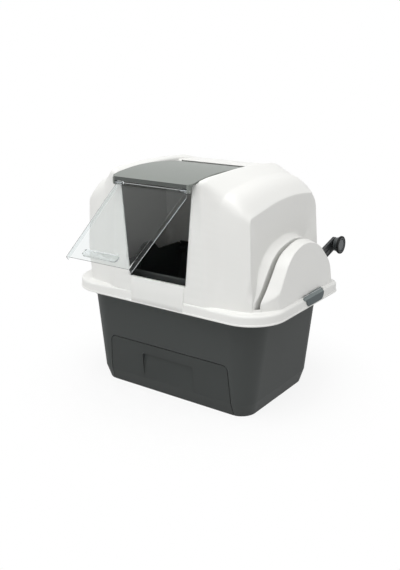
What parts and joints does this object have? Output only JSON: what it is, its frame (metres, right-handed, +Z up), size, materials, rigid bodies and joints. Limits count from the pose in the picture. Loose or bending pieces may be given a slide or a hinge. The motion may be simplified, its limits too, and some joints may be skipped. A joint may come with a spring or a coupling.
{
  "type": "hooded cat litter box",
  "caption": "Hooded cat litter box that sifts by hand: dark tub with pull-out waste drawer, white hood, grey hinged lid with clear swing door, side lever turning a litter drum.",
  "frame": {"origin": "on the floor, in the middle of the tub's underside", "axes": "+Z up, -Y the front with the drawer and the entry, +X the side with the lever"},
  "size_m": [0.666, 0.7225, 0.646],
  "materials": {
    "tub_plastic": "moulded polypropylene, fine matt grain",
    "hood_plastic": "moulded polypropylene, soft satin",
    "lid_plastic": "moulded polypropylene, satin",
    "door_plastic": "clear moulded plastic",
    "lever_plastic": "glass-filled nylon, satin",
    "cap_plastic": "moulded plastic, satin",
    "latch_plastic": "moulded polypropylene, satin",
    "drum_plastic": "moulded polypropylene, smooth inside",
    "sieve_plastic": "moulded polypropylene",
    "inner_plastic": "moulded polypropylene",
    "bearing_plastic": "natural acetal",
    "steel": "zinc-plated steel",
    "filter_pad": "activated-carbon felt"
  },
  "bodies": {
    "base": {"tub": "tub_plastic", "waste_chute": "inner_plastic", "left_cradle": "inner_plastic", "right_cradle": "inner_plastic", "left_bearing_shoe": "bearing_plastic", "right_bearing_shoe": "bearing_plastic", "cradle_screws": "steel", "hood": "hood_plastic", "lever_housing": "hood_plastic", "filter_frame": "hood_plastic", "filter_pad": "filter_pad", "latch_pins": "steel"},
    "drum": {"litter_pan": "drum_plastic", "sieve": "sieve_plastic", "left_cheek": "drum_plastic", "right_cheek": "drum_plastic", "drum_screws": "steel", "left_trunnion": "drum_plastic", "right_trunnion": "drum_plastic", "trunnion_screws": "steel", "lever_hub": "lever_plastic", "lever_arm": "lever_plastic", "lever_screws": "steel", "knob_pin": "steel"},
    "knob": {"knob": "lever_plastic", "knob_cap": "cap_plastic"},
    "drawer": {"drawer_bin": "inner_plastic", "drawer_front": "tub_plastic", "liner_frame": "inner_plastic", "drawer_screws": "steel"},
    "lid": {"lid": "lid_plastic", "lid_pins": "steel", "door_pins": "steel"},
    "door": {"door": "door_plastic"},
    "right_latch": {"right_latch": "latch_plastic"},
    "left_latch": {"left_latch": "latch_plastic"}
  },
  "joints": [
    {"name": "drum_turn", "type": "hinge", "parent": "base", "child": "drum", "pos_m": [0, 0, 0.329], "axis": [1, 0, 0], "range_deg": [0, 160]},
    {"name": "knob_spin", "type": "hinge", "parent": "drum", "child": "knob", "pos_m": [0.2982, 0.24704, 0.39984], "axis": [1, 0, 0], "continuous": true},
    {"name": "drawer_slide", "type": "slide", "parent": "base", "child": "drawer", "axis": [0, -1, 0], "range_m": [0, 0.26]},
    {"name": "lid_hinge", "type": "hinge", "parent": "base", "child": "lid", "pos_m": [0, 0.046, 0.624], "axis": [-1, 0, 0], "range_deg": [0, 95]},
    {"name": "door_swing", "type": "hinge", "parent": "lid", "child": "door", "pos_m": [0, -0.24, 0.609], "axis": [-1, 0, 0], "range_deg": [-54, 40]},
    {"name": "right_latch_hinge", "type": "hinge", "parent": "base", "child": "right_latch", "pos_m": [0.3246, 0.044, 0.3136], "axis": [0, -1, 0], "range_deg": [0, 75]},
    {"name": "left_latch_hinge", "type": "hinge", "parent": "base", "child": "left_latch", "pos_m": [-0.3246, 0.044, 0.3136], "axis": [0, 1, 0], "range_deg": [0, 75]}
  ]
}
